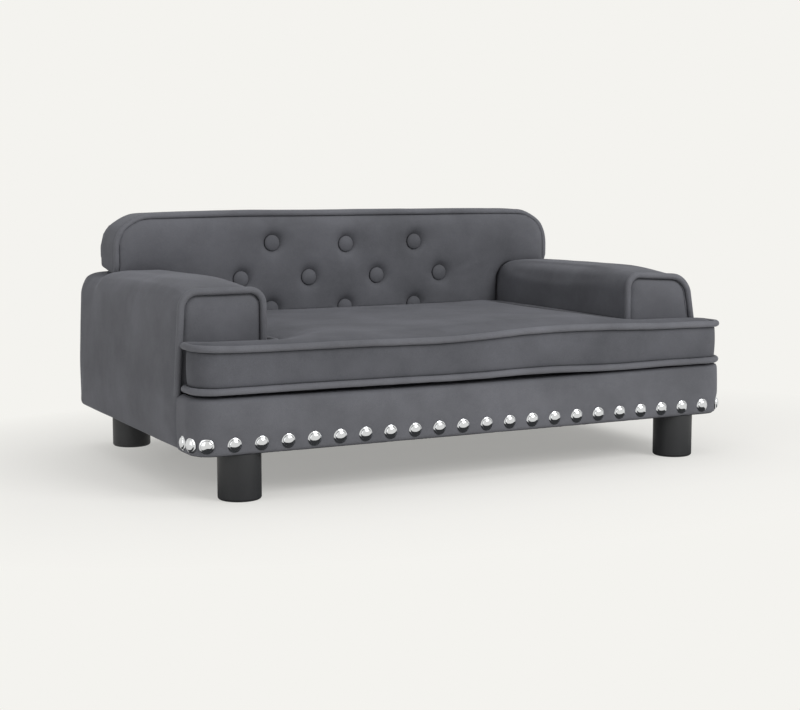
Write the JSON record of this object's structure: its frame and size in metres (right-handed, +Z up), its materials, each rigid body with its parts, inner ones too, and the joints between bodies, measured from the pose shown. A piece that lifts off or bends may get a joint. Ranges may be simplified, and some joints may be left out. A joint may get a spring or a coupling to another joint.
{
  "type": "dog sofa bed",
  "caption": "Small upholstered sofa for a dog: buttoned back with wings over the arms, loose T-shaped cushion, nail-trimmed border, short round legs.",
  "frame": {"origin": "on the floor under the middle of the sofa, at the centre of its box", "axes": "+X to the viewer's right along the sofa's length, +Y from front to back, +Z up"},
  "size_m": [0.7092, 0.45, 0.3],
  "materials": {
    "velvet": "dark grey short-pile velvet",
    "welt_velvet": "dark grey velvet over cord",
    "leg_plastic": "matte black moulded plastic",
    "nail_chrome": "polished chrome plate",
    "zinc_steel": "zinc-plated steel",
    "underside_cloth": "black spunbonded cloth",
    "foam": "cut foam",
    "twine": "twisted twine",
    "zip_tape_cloth": "woven tape",
    "zip_plastic": "moulded coil",
    "zip_metal": "black lacquered zinc",
    "plywood": "raw plywood",
    "pine": "planed pine"
  },
  "bodies": {
    "sofa": {"arm_cover_left": "velvet", "arm_cover_right": "velvet", "arm_facing_left": "velvet", "arm_facing_right": "velvet", "arm_foam_left": "foam", "arm_foam_right": "foam", "arm_front_panel_left": "plywood", "arm_front_panel_right": "plywood", "arm_inner_panel_left": "plywood", "arm_inner_panel_right": "plywood", "arm_slat_left": "pine", "arm_slat_right": "pine", "arm_welt_left": "welt_velvet", "arm_welt_right": "welt_velvet", "back_boxing": "velvet", "back_buttons": "welt_velvet", "back_face": "velvet", "back_foam": "foam", "back_panel": "plywood", "back_welt": "welt_velvet", "base_board": "plywood", "border_nails": "nail_chrome", "button_ties": "twine", "corner_block_left": "pine", "corner_block_right": "pine", "deck_cover": "velvet", "deck_screws": "zinc_steel", "dust_cover": "underside_cloth", "dust_cover_staples": "zinc_steel", "front_border": "velvet", "front_rail": "pine", "leg_front_left": "leg_plastic", "leg_front_right": "leg_plastic", "leg_nuts": "zinc_steel", "leg_rear_left": "leg_plastic", "leg_rear_right": "leg_plastic", "leg_studs": "zinc_steel", "outside_back": "velvet", "rear_rail": "pine", "seat_deck": "plywood", "side_cleat_left": "pine", "side_cleat_right": "pine", "side_panel_left": "plywood", "side_panel_right": "plywood"},
    "cushion": {"cushion_core": "foam", "cushion_cover": "velvet", "cushion_welt_upper": "welt_velvet", "cushion_welt_lower": "welt_velvet", "zip_tape": "zip_tape_cloth", "zip_coil": "zip_plastic"},
    "zip_slider": {"zip_slider": "zip_metal"}
  },
  "joints": [
    {"name": "cushion_lift", "type": "slide", "parent": "sofa", "child": "cushion", "axis": [0, 0, 1], "range_m": [0, 0.2]},
    {"name": "zip_slide", "type": "slide", "parent": "cushion", "child": "zip_slider", "axis": [1, 0, 0], "range_m": [0, 0.308]}
  ]
}
